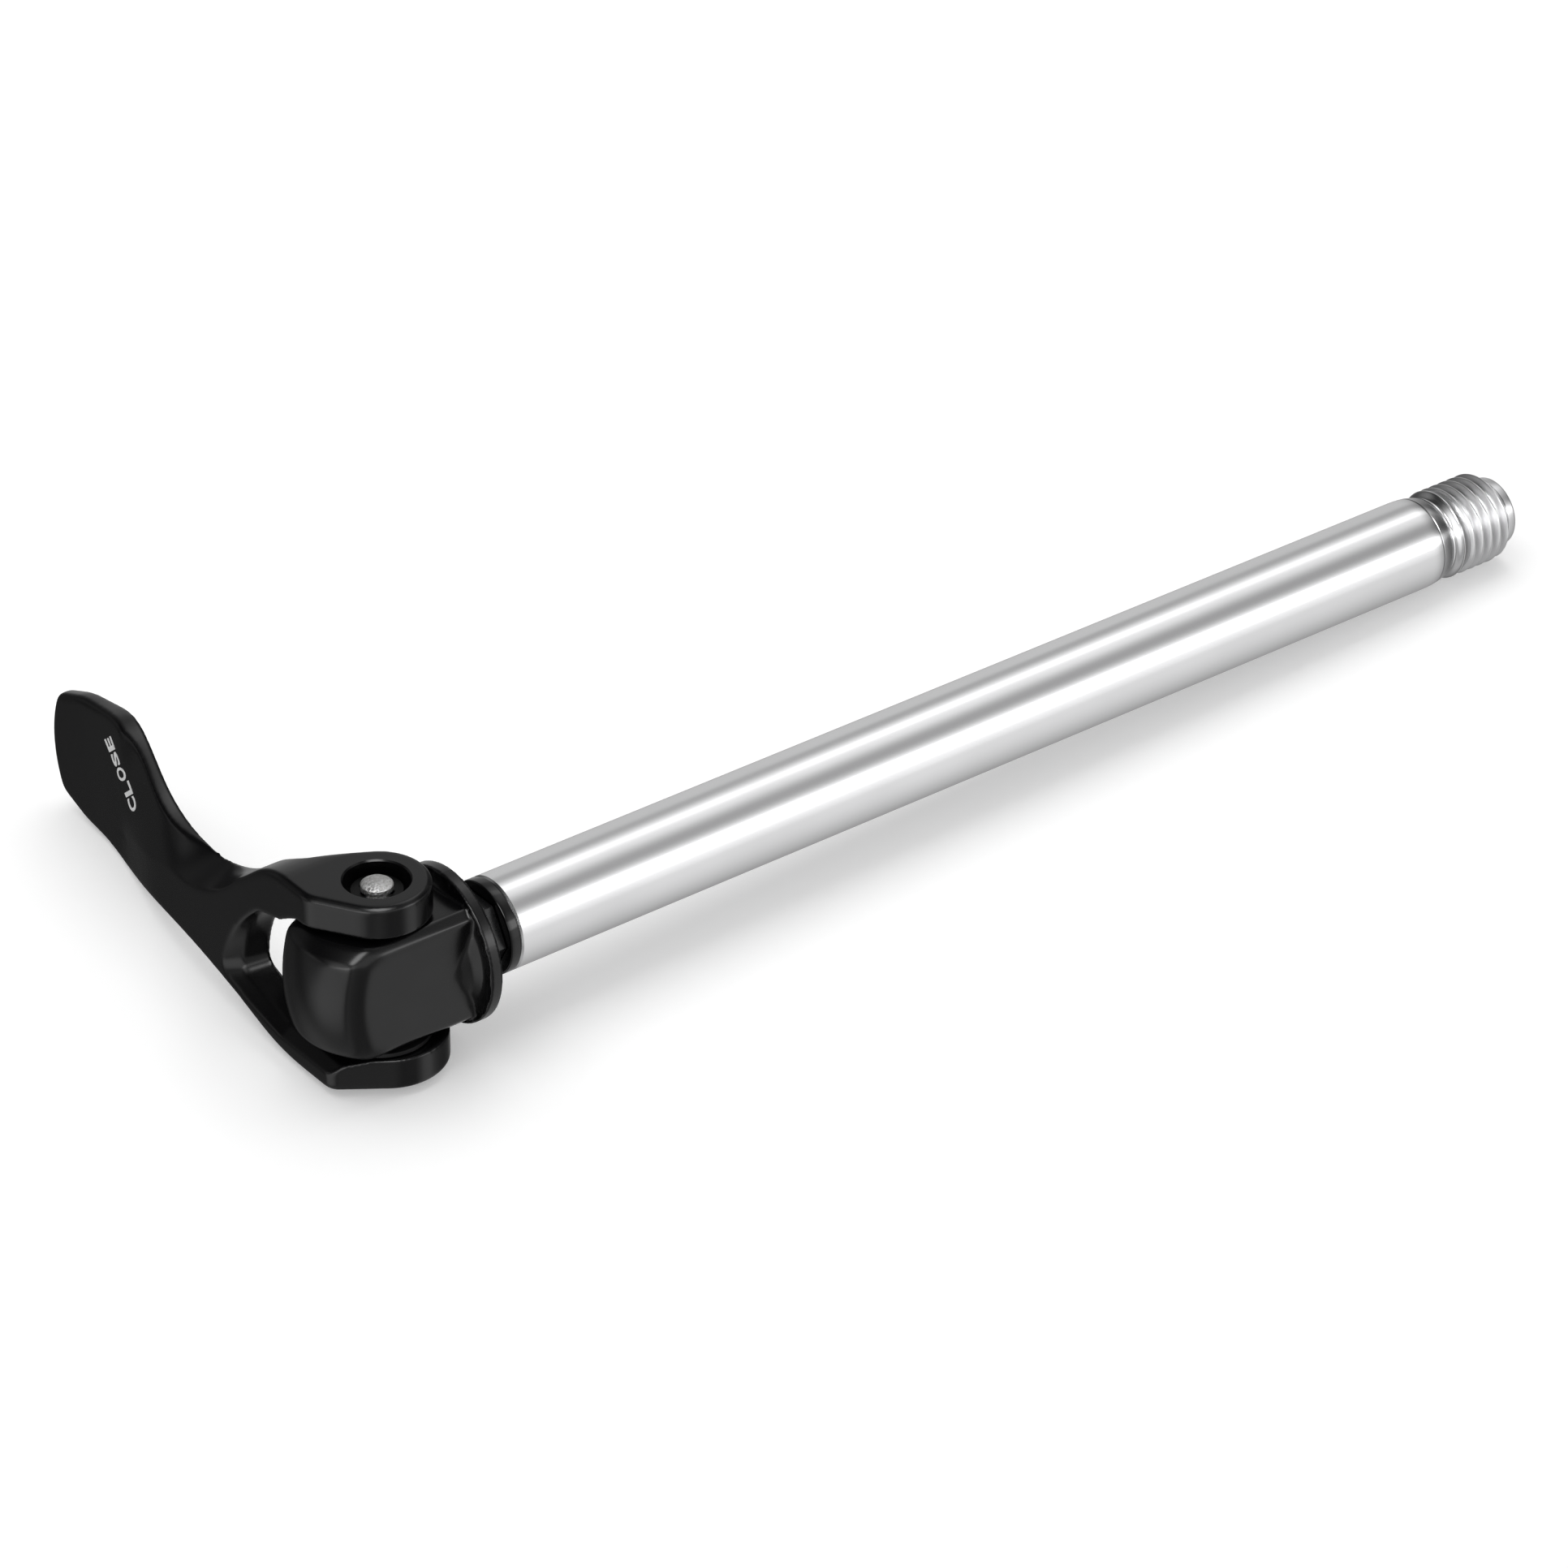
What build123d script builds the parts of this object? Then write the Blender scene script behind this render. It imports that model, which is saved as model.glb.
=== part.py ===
from build123d import *
import math
import os

# Bicycle thru axle with a cam lever, closed, in millimetres.
# The origin is on the axle's axis, at the clamping face of the flange. X runs along the axle
# to the thread, Z along the cam pin, and Y towards the handle of the closed lever.

# Axle: turned tube with rounded shoulder, thread and pilot tip
axle_length = 166.0           # clamping face to tip
shaft_dia = 12.0
shaft_bore = 7.0
shaft_chamfer = 0.3
shoulder_length = 4.2
shoulder_dia = 10.8           # where the rounded shoulder ends
neck_dia = 10.4               # thread runout
neck_width = 0.4
thread_dia = 11.86            # over the crests
thread_length = 9.9
thread_run_in = 1.0
thread_chamfer = 1.3
pilot_dia = 9.2
pilot_length = 1.3
pilot_chamfer = 0.3

# Stem: hexagon, neck with collar, spigot in the tube, eye round the cam
hex_flats = 9.0
hex_outside = 2.8             # hexagon in front of the clamping face
hex_inside = 4.8              # hexagon inside the housing
stem_neck_dia = 8.4
collar_gap = 4.0              # clamping face to collar
collar_width = 1.55
collar_chamfer = 0.2
spigot_length = 16.0
shank_width = 7.0
eye_thickness = 3.6
eye_wall = 1.2
eye_play = 0.3                # room round the cam

# Cam pin with its clip
pin_offset = 10.65            # clamping face to pin axis
cam_throw = 0.75              # the housing slides twice this far
cam_dia = 5.3
cam_height = 4.6
upper_journal_dia = 3.7
lower_journal_dia = 7.0
head_dia = 7.6
head_height = 1.6
pin_sink = 0.4                # ends of the pin below the lever's faces
tip_chamfer = 0.25
groove_dia = 2.7
groove_width = 0.7
clip_thickness = 0.6
clip_dia = 6.2
clip_band = 0.9
clip_prong = 1.4
clip_mouth = 3.0
clip_turn = -120.0            # direction of the clip's mouth, in degrees from X

# Plastic bushes in the housing
bush_wall = 1.2
bush_rim = 1.3                # flange beyond the sleeve
bush_rim_thickness = 0.5

# Housing: forged block, trumpet and flange in one piece
flange_dia = 20.0
flange_thickness = 1.5
flange_chamfer = 0.35
trumpet_mouth_dia = 19.2
trumpet_radius = 3.4
trumpet_steps = 4             # cones that the trumpet's curve is made of
block_near = 6.3              # side away from the handle
block_far = 7.0               # side towards the handle
end_radius = 10.9             # at half height
end_bulge = 1.3               # the end is barrel-shaped
end_shift = 1.2               # centre of the end's arc beside the pin axis, towards the handle
end_chamfer = 1.4
side_chamfer = 1.05
bore_dia = 10.8
bore_end_gap = 0.7

# Lever: forged fork, handle and paddle in one piece
fork_height = 25.6
arm_thickness = 4.3
boss_dia = 13.0
outer_face = 8.8              # pin axis to the fork's outer face
inner_face = 4.2              # pin axis to the fork's inner face
front_corner = 1.8            # where the boss's front flank meets the outer face
front_corner_round = 4.0
rear_corner = 9.9             # where the boss's rear flank meets the inner face
rear_corner_round = 3.0
lower_boss_dia = 14.2         # the lower arm takes the pin's head and is larger
lower_boss_shift = 1.1        # towards the flange
lower_front_corner = -1.7
lower_corner_round = 2.2
counterbore_dia = 8.0
counterbore_depth = 2.1
room_radius = 11.8            # turning room for the housing
room_chamfer = 2.2
throat_crown = 12.0           # where the throat's arch starts to fall
throat_fall = 3.0             # from the upper arm's inner face down to the arch's crown
throat_bulge = 1.2            # how far the falling side of the arch stands out
throat_ledge = 8.5            # where the throat's floor becomes level
throat_round = 1.6
root_y = 16.0                 # where the fork's arms run together into the handle
root_top = 8.15
root_bottom = 10.3
handle_end = 67.2
grip_y = 28.0                 # thinnest place of the handle
grip_outer = 8.0
grip_thickness = 4.1
grip_top = 3.95
grip_bottom = 8.2
bend_y = 41.0                 # middle of the bend towards the paddle
bend_outer = 6.0
bend_thickness = 3.6
bend_top = 6.2
bend_bottom = 8.7
paddle_y = 51.0               # widest place of the paddle
paddle_outer = 3.3
paddle_thickness = 3.0
paddle_half = 10.1
taper_y = 57.0                # where the paddle narrows towards its end
taper_half = 9.4
tip_outer = 2.7
tip_thickness = 2.2
tip_shoulder = 5.8            # from the paddle's end to where its edges turn in
tip_shoulder_half = 8.6
tip_half = 7.0
tip_slope = 1.6               # corners of the end behind its middle
tip_corner_round = 2.5
edge_chamfer = 0.5

# Thumb scoop: place along the handle, height of its front edge on the outer face, and
# depth below the outer face at the handle's upper edge
scoop_stations = [
    (15.0, 8.4, 0.3),
    (19.0, 5.2, 2.6),
    (23.0, 2.4, 4.1),
    (28.0, 0.4, 4.1),
    (34.0, -0.6, 2.2),
    (41.5, -2.7, 1.5),
    (48.0, -4.6, 0.8),
    (54.0, -6.0, 0.0),
]

# Throat of the fork, which narrows inward: depth below the outer face, place of its end, and
# heights of its floor above the lower arm's inner face, at the end and at the ledge
throat_stations = [
    (0.0, 22.0, 0.7, -1.9),
    (1.5, 18.7, 1.9, -0.7),
    (outer_face - inner_face, 16.8, 2.9, 0.1),
]

# Clearances
seat_gap = 0.02               # pressed or bonded seats, on the radius
turn_gap = 0.05               # running fit of the pin, on the radius
side_gap = 0.1                # play along the pin
rim_gap = 0.2                 # from each bush to the fork

# Values worked out from the sizes above
pin_x = -pin_offset
eye_x = pin_x - cam_throw
eye_half = cam_dia / 2 + eye_play + eye_wall
collar_end = collar_gap + collar_width
fork_half = fork_height / 2
arm_inner = fork_half - arm_thickness
counterbore_floor = fork_half - counterbore_depth
block_half = arm_inner - bush_rim_thickness - rim_gap
over = boss_dia               # length by which cutting tools stand out of the solids


def turned(*points):
    """Solid of revolution about X through (x, radius) points."""
    return revolve(make_face(Polyline(*points, close=True)), Axis.X)


def rod(dia, z_from, z_to, shift=0.0):
    """Round bar along Z, on the pin axis or shifted from it along X."""
    return extrude(Pos(pin_x + shift, 0, z_from) * Circle(dia / 2), z_to - z_from)


def corners_at(sketch, *places):
    """Vertices of a sketch that lie at the given places."""
    found = []
    for place in places:
        found.append(sketch.vertices().sort_by_distance(place)[0])
    return found


def axle_shaft():
    radius = shaft_dia / 2
    bore = shaft_bore / 2
    thread_end = axle_length - pilot_length
    thread_start = thread_end - thread_length
    neck_start = thread_start - neck_width
    shoulder_start = neck_start - shoulder_length
    pilot = pilot_dia / 2
    with BuildPart() as shaft:
        with BuildSketch():
            with BuildLine():
                Polyline(
                    (collar_end, bore),
                    (collar_end, radius - shaft_chamfer),
                    (collar_end + shaft_chamfer, radius),
                    (shoulder_start, radius),
                )
                TangentArc((shoulder_start, radius), (neck_start, shoulder_dia / 2), tangent=(1, 0))
                Polyline(
                    (neck_start, shoulder_dia / 2),
                    (neck_start, neck_dia / 2),
                    (thread_start, neck_dia / 2),
                    (thread_start + thread_run_in, thread_dia / 2),
                    (thread_end - thread_chamfer, thread_dia / 2),
                    (thread_end, pilot),
                    (axle_length - pilot_chamfer, pilot),
                    (axle_length, pilot - pilot_chamfer),
                    (axle_length, bore),
                    (collar_end, bore),
                )
            make_face()
        revolve(axis=Axis.X)
    return shaft.part


def collar_ring():
    outer = shaft_dia / 2
    inner = stem_neck_dia / 2 + seat_gap
    return turned(
        (collar_gap, inner),
        (collar_gap, outer - collar_chamfer),
        (collar_gap + collar_chamfer, outer),
        (collar_end - collar_chamfer, outer),
        (collar_end, outer - collar_chamfer),
        (collar_end, inner),
    )


def cam_stem():
    """Hexagon with a flat eye on one end, a neck and a spigot on the other."""
    hexagon = RegularPolygon(hex_flats / 2, 6, major_radius=False)
    stem = extrude(Plane.YZ.offset(-hex_inside) * hexagon, hex_inside + hex_outside)
    stem += extrude(Plane.YZ.offset(hex_outside) * Circle(stem_neck_dia / 2), collar_end - hex_outside)
    stem += extrude(Plane.YZ.offset(collar_end) * Circle(shaft_bore / 2 - seat_gap), spigot_length)
    shank_length = -hex_inside - eye_x
    eye = Pos(eye_x) * SlotCenterToCenter(2 * cam_throw, 2 * eye_half, rotation=90)
    eye += Pos(eye_x + shank_length / 2) * Rectangle(shank_length, shank_width)
    eye -= Pos(eye_x) * SlotCenterToCenter(2 * cam_throw, cam_dia + 2 * eye_play, rotation=90)
    return stem + extrude(eye, eye_thickness / 2, both=True)


def cam_pin():
    """Turned pin: head, lower journal, eccentric cam, upper journal, clip groove and tip."""
    bottom = pin_sink - fork_half
    shoulder = bottom + head_height
    groove = counterbore_floor + side_gap
    pin = rod(head_dia, bottom, shoulder)
    pin += rod(lower_journal_dia, shoulder, -cam_height / 2)
    pin += rod(cam_dia, -cam_height / 2, cam_height / 2, shift=-cam_throw)
    pin += rod(upper_journal_dia, cam_height / 2, groove)
    pin += rod(groove_dia, groove, groove + groove_width)
    tip = rod(upper_journal_dia, groove + groove_width, fork_half - pin_sink)
    return pin + chamfer(tip.edges().group_by(Axis.Z)[-1], tip_chamfer)


def pin_clip():
    """Spring clip with three prongs that snaps into the groove of the pin."""
    inner = groove_dia / 2 + seat_gap
    prong_length = clip_dia / 2 - clip_band / 2 - inner
    clip = Circle(clip_dia / 2) - Circle(clip_dia / 2 - clip_band)
    for angle in (90, 180, 270):
        clip += Rot(0, 0, angle) * Pos(inner + prong_length / 2) * Rectangle(prong_length, clip_prong)
    clip -= Circle(inner)
    clip -= Pos(clip_dia / 2) * Rectangle(clip_dia, clip_mouth)
    bottom = counterbore_floor + side_gap + (groove_width - clip_thickness) / 2
    return extrude(Pos(pin_x, 0, bottom) * Rot(0, 0, clip_turn) * clip, clip_thickness)


def bush_sleeve_dia(journal_dia):
    return journal_dia + 2 * turn_gap + 2 * bush_wall


def pin_bush(journal_dia):
    """Flanged bush for the upper wall of the housing; its flange keeps the fork off the block."""
    sleeve_dia = bush_sleeve_dia(journal_dia)
    bush = rod(sleeve_dia, bore_dia / 2 + seat_gap, block_half)
    bush += rod(sleeve_dia + 2 * bush_rim, block_half, block_half + bush_rim_thickness)
    return bush - rod(journal_dia + 2 * turn_gap, 0, fork_half)


def housing_block():
    """Block with a barrel-shaped end; the end's edges are broken more than the long ones."""
    rim = end_radius - end_bulge
    upper_corner = (rim, block_half)
    lower_corner = (rim, -block_half)
    with BuildSketch(Plane.XZ) as profile:
        with BuildLine():
            ThreePointArc(lower_corner, (end_radius, 0), upper_corner)
            Polyline(upper_corner, (0, block_half), (0, -block_half), lower_corner)
        make_face()
        chamfer(corners_at(profile, upper_corner, lower_corner), end_chamfer)
    barrel = Pos(pin_x, end_shift) * revolve(profile.sketch, Axis.Z)
    width = block_near + block_far
    middle = (block_far - block_near) / 2
    length = -flange_thickness - pin_x
    end = barrel & Pos(pin_x - end_radius, middle) * Box(2 * end_radius, width, 2 * block_half)
    block = end + Pos(pin_x + length / 2, middle) * Box(length, width, 2 * block_half)
    sides = block.faces().filter_by(Plane.XZ)
    rims = [edge for side in sides for edge in side.edges().sort_by(Axis.X)[:-1]]
    return chamfer(rims, side_chamfer)


def cam_housing():
    mouth = trumpet_mouth_dia / 2
    back = -flange_thickness
    throat_x = back - trumpet_radius
    with BuildPart() as trumpet:
        with BuildSketch():
            with BuildLine():
                foot = (throat_x, mouth - trumpet_radius)
                curve = RadiusArc(foot, (back, mouth), -trumpet_radius, mode=Mode.PRIVATE)
                places = [curve @ (step / trumpet_steps) for step in range(trumpet_steps + 1)]
                Polyline(*places, (back, 0), (throat_x, 0), close=True)
            make_face()
        revolve(axis=Axis.X)
    flange = extrude(Plane.YZ * Circle(flange_dia / 2), -flange_thickness)
    flange = chamfer(flange.edges(), flange_chamfer)
    housing = housing_block() + trumpet.part + flange
    bore_length = eye_half - eye_x + bore_end_gap
    housing -= extrude(Plane.YZ * Circle(bore_dia / 2), -bore_length)
    housing -= rod(bush_sleeve_dia(upper_journal_dia) + 2 * seat_gap, 0, fork_half)
    housing -= rod(bush_sleeve_dia(lower_journal_dia) + 2 * seat_gap, -fork_half, 0)
    return housing


def boss_tangent(dia, shift, corner, turn):
    """Where a line from a corner touches a boss; places are measured from the pin axis."""
    reach = (corner[0] - shift, corner[1])
    angle = math.atan2(reach[1], reach[0]) + turn * math.acos(dia / 2 / math.hypot(*reach))
    return (shift + dia / 2 * math.cos(angle), dia / 2 * math.sin(angle))


def outer_edge():
    """Outer face of the handle seen along the pin, with the pin axis at zero."""
    return Spline(
        (-outer_face, front_corner + 3 * front_corner_round),
        (-grip_outer, grip_y),
        (-bend_outer, bend_y),
        (-paddle_outer, paddle_y),
        (-tip_outer, handle_end + tip_slope),
        tangents=[(0, 1), (0, 1)],
    )


def inner_edge():
    """Inner face of the handle, from the paddle's end to the fork."""
    return Spline(
        (tip_thickness - tip_outer, handle_end + tip_slope),
        (paddle_thickness - paddle_outer, paddle_y),
        (bend_thickness - bend_outer, bend_y),
        (grip_thickness - grip_outer, grip_y),
        (-inner_face, rear_corner + 2 * rear_corner_round),
        tangents=[(0, -1), (0, -1)],
    )


def lever_plan(dia, shift, corner, corner_round):
    """Outline of the lever seen along the pin, with the boss and front corner of one arm."""
    front = (-outer_face, corner)
    rear = (-inner_face, rear_corner)
    front_touch = boss_tangent(dia, shift, front, 1)
    rear_touch = boss_tangent(dia, shift, rear, -1)
    with BuildSketch() as plan:
        with BuildLine():
            outer = add(outer_edge())
            inner = add(inner_edge())
            Polyline(front_touch, front, outer.edge() @ 0)
            Line(outer.edge() @ 1, inner.edge() @ 0)
            Polyline(inner.edge() @ 1, rear, rear_touch)
            ThreePointArc(rear_touch, (shift + dia / 2, 0), front_touch)
        make_face()
        fillet(corners_at(plan, front), corner_round)
        fillet(corners_at(plan, rear), rear_corner_round)
    return Pos(pin_x) * plan.sketch


def upper_edge():
    """Upper edge of the lever seen along the axle, from the fork to the paddle's end."""
    shoulder = handle_end - tip_shoulder
    return Spline(
        (boss_dia / 2, fork_half),
        (root_y, root_top),
        (grip_y, grip_top),
        (bend_y, bend_top),
        (paddle_y, paddle_half),
        (taper_y, taper_half),
        (shoulder, tip_shoulder_half),
        tangents=[(1, 0), (tip_shoulder - tip_slope, tip_half - tip_shoulder_half)],
    )


def lower_edge():
    """Lower edge, from the paddle's end to the fork."""
    shoulder = handle_end - tip_shoulder
    return Spline(
        (shoulder, -tip_shoulder_half),
        (taper_y, -taper_half),
        (paddle_y, -paddle_half),
        (bend_y, -bend_bottom),
        (grip_y, -grip_bottom),
        (root_y, -root_bottom),
        (boss_dia / 4, -fork_half),
        tangents=[(tip_slope - tip_shoulder, tip_half - tip_shoulder_half), (-1, 0)],
    )


def lever_elevation():
    """Outline of the lever seen along the axle: fork, thin grip and symmetrical paddle."""
    upper_corner = (handle_end - tip_slope, tip_half)
    lower_corner = (handle_end - tip_slope, -tip_half)
    with BuildSketch(Plane.YZ) as outline:
        with BuildLine():
            upper = add(upper_edge())
            lower = add(lower_edge())
            Line(upper.edge() @ 1, upper_corner)
            ThreePointArc(upper_corner, (handle_end, 0), lower_corner)
            Line(lower_corner, lower.edge() @ 0)
            Polyline(lower.edge() @ 1, (-over, -fork_half), (-over, fork_half), upper.edge() @ 0)
        make_face()
        fillet(corners_at(outline, upper_corner, lower_corner), tip_corner_round)
    return outline.sketch


def turning_room():
    """Rounded drum about the pin in which the housing turns."""
    drum = Plane.XZ * (Pos(room_radius / 2) * Rectangle(room_radius, 2 * arm_inner))
    drum = chamfer(drum.vertices().group_by(Axis.X)[-1], room_chamfer)
    return Pos(pin_x) * revolve(drum, Axis.Z)


def throat_section(depth, end, end_rise, ledge_rise):
    """Outline of the fork's throat in a plane at a depth below the outer face."""
    plane = Plane(origin=(pin_x - outer_face + depth, 0, 0), x_dir=(0, 1, 0), z_dir=(1, 0, 0))
    crown = (throat_crown, arm_inner - throat_fall)
    corner = (end, end_rise - arm_inner)
    floor = ledge_rise - arm_inner
    with BuildSketch(plane) as outline:
        with BuildLine():
            SagittaArc(crown, corner, throat_bulge)
            Polyline(
                corner,
                (throat_ledge, floor),
                (-over, floor),
                (-over, arm_inner - seat_gap),
                (0, arm_inner - seat_gap),
                crown,
            )
        make_face()
        fillet(corners_at(outline, crown), throat_round)
        fillet(corners_at(outline, corner), throat_round)
    return outline.sketch.face()


def throat():
    """Opening of the fork towards the handle, drawn in from the outer face to the inner one."""
    sections = [throat_section(*station) for station in throat_stations]
    cut = loft(sections, ruled=True)
    cut += extrude(sections[0], over, dir=(-1, 0, 0))
    cut += extrude(sections[-1], over, dir=(1, 0, 0))
    return cut


def height_at(edge, along):
    """Second coordinate of a plane curve where its first one, or Y on a plan, has a value."""
    low, high = 0.0, 1.0
    for _ in range(40):
        middle = (low + high) / 2
        if (edge @ middle).X < along:
            low = middle
        else:
            high = middle
    return (edge @ low).Y


def scoop_section(y, front, depth):
    """Face across the handle; its lower edge runs from the outer face to a point deeper in."""
    outer = pin_x + height_at(outer_edge().mirror(Plane.XZ).rotate(Axis.Z, 90), y)
    top = height_at(upper_edge(), y)
    rise = math.hypot(depth, top - front)
    across = Vector(depth / rise, 0, (top - front) / rise)
    away = Vector(-across.Z, 0, across.X)
    low = Vector(outer, y, front) - across
    high = Vector(outer + depth, y, top) + across * arm_thickness
    return make_face(Polyline(low, high, high + away * over, low + away * over, close=True))


def thumb_scoop():
    """Hollow that takes off the handle's upper front corner and fades out on the paddle."""
    return loft([scoop_section(*station) for station in scoop_stations])


def lever():
    upper = lever_plan(boss_dia, 0, front_corner, front_corner_round)
    lower = lever_plan(lower_boss_dia, lower_boss_shift, lower_front_corner, lower_corner_round)
    body = extrude(upper, fork_half) + extrude(lower, -fork_half)
    body &= extrude(Pos(pin_x - over) * lever_elevation(), 2 * over)
    seams = body.edges().filter_by(Axis.Z) + body.edges().filter_by(Axis.X)
    seams += body.edges().filter_by_position(Axis.Z, -side_gap, side_gap)
    body = chamfer([edge for edge in body.edges() if edge not in seams], edge_chamfer)
    body -= thumb_scoop()
    body -= turning_room()
    body -= throat()
    body -= rod(upper_journal_dia + 2 * seat_gap, 0, fork_half)
    body -= rod(lower_journal_dia + 2 * seat_gap, -fork_half, 0)
    body -= rod(counterbore_dia, counterbore_floor, fork_half + side_gap)
    body -= rod(counterbore_dia, -fork_half - side_gap, pin_sink + head_height - fork_half)
    return body


os.makedirs("parts", exist_ok=True)
export_step(axle_shaft(), "parts/axle_shaft.step")
export_step(collar_ring(), "parts/collar_ring.step")
export_step(cam_stem(), "parts/cam_stem.step")
export_step(cam_housing(), "parts/cam_housing.step")
export_step(pin_bush(upper_journal_dia), "parts/pin_bush_upper.step")
export_step(mirror(pin_bush(lower_journal_dia), Plane.XY), "parts/pin_bush_lower.step")
export_step(lever(), "parts/lever.step")
export_step(cam_pin(), "parts/cam_pin.step")
export_step(pin_clip(), "parts/pin_clip.step")
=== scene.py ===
import math

import bmesh
import bpy
from mathutils import Matrix, Vector
from mathutils.bvhtree import BVHTree


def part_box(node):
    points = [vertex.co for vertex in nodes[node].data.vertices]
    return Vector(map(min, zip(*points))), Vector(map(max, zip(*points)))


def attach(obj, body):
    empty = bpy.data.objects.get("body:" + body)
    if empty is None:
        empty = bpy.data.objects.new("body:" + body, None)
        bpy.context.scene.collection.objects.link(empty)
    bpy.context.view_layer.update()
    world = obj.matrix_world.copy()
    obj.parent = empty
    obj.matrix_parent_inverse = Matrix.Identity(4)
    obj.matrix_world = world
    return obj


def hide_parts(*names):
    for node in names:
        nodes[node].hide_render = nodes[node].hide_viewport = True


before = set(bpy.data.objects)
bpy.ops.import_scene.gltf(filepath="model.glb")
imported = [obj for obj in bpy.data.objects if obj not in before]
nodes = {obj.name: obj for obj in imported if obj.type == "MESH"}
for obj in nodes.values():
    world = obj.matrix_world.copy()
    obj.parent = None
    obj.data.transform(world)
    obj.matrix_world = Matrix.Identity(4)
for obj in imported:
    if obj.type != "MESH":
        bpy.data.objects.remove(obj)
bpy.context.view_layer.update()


# Axle shaft: the hollow bar that carries the wheel. It is drawn aluminium, turned and polished
# on a lathe and clear anodised; the thread, its run-out groove and the pilot tip are cut in the
# same bar, and the black stem is pressed into its other end.
MM = 0.001
TURN = 2 * math.pi

shaft_low, shaft_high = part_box("axle_shaft")
shaft_start = shaft_low.x
shaft_end = shaft_high.x
shaft_radius = shaft_high.z
shaft_bore = 3.5 * MM
shaft_chamfer = 0.3 * MM
shaft_segments = 160
shoulder_length = 4.2 * MM
shoulder_drop = 0.6 * MM
shoulder_power = 2.8
shoulder_steps = 24
line_place = 152.4 * MM
line_half = 0.1 * MM
line_depth = 0.06 * MM
neck_radius = 5.15 * MM
neck_width = 0.4 * MM
pilot_length = 1.3 * MM
pilot_radius = 4.6 * MM
pilot_round = 0.3 * MM
round_steps = 5
thread_length = 9.9 * MM
thread_end = shaft_end - pilot_length
thread_start = thread_end - thread_length
thread_pitch = 1.5 * MM
thread_turns = 5.4375
thread_crest = 5.93 * MM
thread_depth = 0.85 * MM
thread_root = thread_crest - thread_depth
thread_chamfer = 1.3 * MM
# The chamfer ends a hair inside the pilot tip, and the land stands a hair over the crests, so that
# no two surfaces lie in the same place.
chamfer_sunk = 0.01 * MM
land_radius = thread_crest + 0.02 * MM
land_end = thread_start + 1.0 * MM
land_fall = 2.6 * MM
land_steps = 12
ridge_start = thread_start + 2.0 * MM
ridge_stations = round(shaft_segments * thread_turns) + 1
ridge_points = 33
# The ridge swells to its full size over this part of a turn.
ridge_taper = 0.125
ridge_sunk = 0.4 * MM
crest_share = 0.1
pitch_share = 0.49
point_weld = 0.0001 * MM
seam_weld = 0.001 * MM
sharp_angle = math.radians(40)
bare_metal = "#F1F1F2"
# Most values of a noise lie between these two.
noise_span = {"From_Min": 0.3, "From_Max": 0.7}


def linear(code):
    """Linear RGBA of an sRGB hex colour."""
    channels = [int(code[at:at + 2], 16) / 255 for at in (1, 3, 5)]
    return [c / 12.92 if c < 0.04045 else ((c + 0.055) / 1.055) ** 2.4 for c in channels] + [1.0]


def add_node(tree, kind, settings=None, **inputs):
    """Adds a node. Inputs are numbers, colours or sockets to link, by name with "_" for a space,
    or by number as "_0"."""
    made = tree.nodes.new(kind)
    for key, value in (settings or {}).items():
        setattr(made, key, value)
    for key, value in inputs.items():
        number = key[1:]
        socket = made.inputs[int(number) if number.isdigit() else key.replace("_", " ")]
        if isinstance(value, bpy.types.NodeSocket):
            tree.links.new(value, socket)
        else:
            socket.default_value = value
    return made


def new_finish(name):
    """A material with its node tree and its shader."""
    material = bpy.data.materials.new(name)
    material.use_nodes = True
    return material, material.node_tree, material.node_tree.nodes["Principled BSDF"]


def new_piece(name, mesh, material):
    """An object at the origin with smooth faces and one material."""
    mesh.materials.clear()
    mesh.materials.append(material)
    mesh.shade_smooth()
    piece = bpy.data.objects.new(name, mesh)
    bpy.context.scene.collection.objects.link(piece)
    return piece


def evaluated_mesh(piece):
    """Plain mesh of a piece with its modifiers worked in; the modifiers are then removed."""
    graph = bpy.context.evaluated_depsgraph_get()
    mesh = bpy.data.meshes.new_from_object(piece.evaluated_get(graph))
    piece.modifiers.clear()
    return mesh


def lathe(name, outline, segments):
    """Mesh of a closed outline of (x, radius) points turned about the X axis."""
    shape = bmesh.new()
    rings = []
    for x, radius in outline:
        ring = []
        for step in range(segments):
            angle = TURN * step / segments
            ring.append(shape.verts.new((x, radius * math.cos(angle), radius * math.sin(angle))))
        rings.append(ring)
    for index, ring in enumerate(rings):
        other = rings[(index + 1) % len(rings)]
        for step in range(segments):
            after = (step + 1) % segments
            shape.faces.new((ring[step], other[step], other[after], ring[after]))
    bmesh.ops.remove_doubles(shape, verts=shape.verts, dist=point_weld)
    bmesh.ops.recalc_face_normals(shape, faces=shape.faces)
    mesh = bpy.data.meshes.new(name)
    shape.to_mesh(mesh)
    shape.free()
    return mesh


def arc_points(centre, radius, start, end):
    """Points (x, radius) on an arc between two angles in degrees."""
    turned = [start + (end - start) * step / round_steps for step in range(round_steps + 1)]
    angles = [math.radians(angle) for angle in turned]
    return [(centre[0] + radius * math.cos(a), centre[1] + radius * math.sin(a)) for a in angles]


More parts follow.
